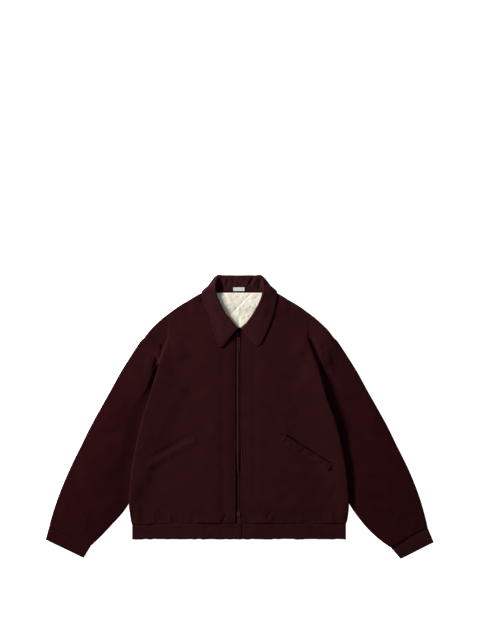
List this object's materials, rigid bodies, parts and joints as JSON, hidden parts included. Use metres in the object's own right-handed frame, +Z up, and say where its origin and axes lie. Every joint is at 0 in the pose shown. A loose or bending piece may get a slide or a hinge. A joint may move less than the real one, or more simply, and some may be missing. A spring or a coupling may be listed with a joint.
{
  "type": "short zip jacket laid flat",
  "caption": "Short boxy jacket lying flat, zip closed, turned-down collar, quilted lining at the neck, slanted welt pockets, cuffs and hem band.",
  "frame": {"origin": "on the back panel's flat underside, at the middle of the body's width, 290 mm up from the hem band's seam", "axes": "+Z up off the surface that it lies on, +Y from the hem to the collar, +X to the right seen from above"},
  "size_m": [1.045, 0.7621, 0.0158],
  "materials": {
    "shell": "matt, fine plain weave",
    "collar": "matt, fine plain weave",
    "lining": "soft satin lining, quilted",
    "label": "matt woven tape, bare",
    "zip_tape": "matt twill tape",
    "zip_teeth": "moulded, dyed to match",
    "slider": "black, half matt",
    "pull": "painted to match, half matt"
  },
  "bodies": {
    "garment": {"back": "shell", "front_left": "shell", "front_right": "shell", "sleeve_left": "shell", "sleeve_right": "shell", "cuff_left": "shell", "cuff_right": "shell", "hem_band": "shell", "welt_left": "shell", "welt_right": "shell", "collar": "collar", "back_lining": "lining", "label": "label", "zip_tape_left": "zip_tape", "zip_tape_right": "zip_tape", "zip_chain": "zip_teeth", "zip_box": "zip_teeth", "zip_slider": "slider"},
    "zip_pull": {"zip_pull": "pull"}
  },
  "joints": [
    {"name": "zip_pull_hinge", "type": "hinge", "parent": "garment", "child": "zip_pull", "pos_m": [-0.00135, 0.219, 0.0086], "axis": [-1, 0, 0], "range_deg": [0, 150]}
  ]
}
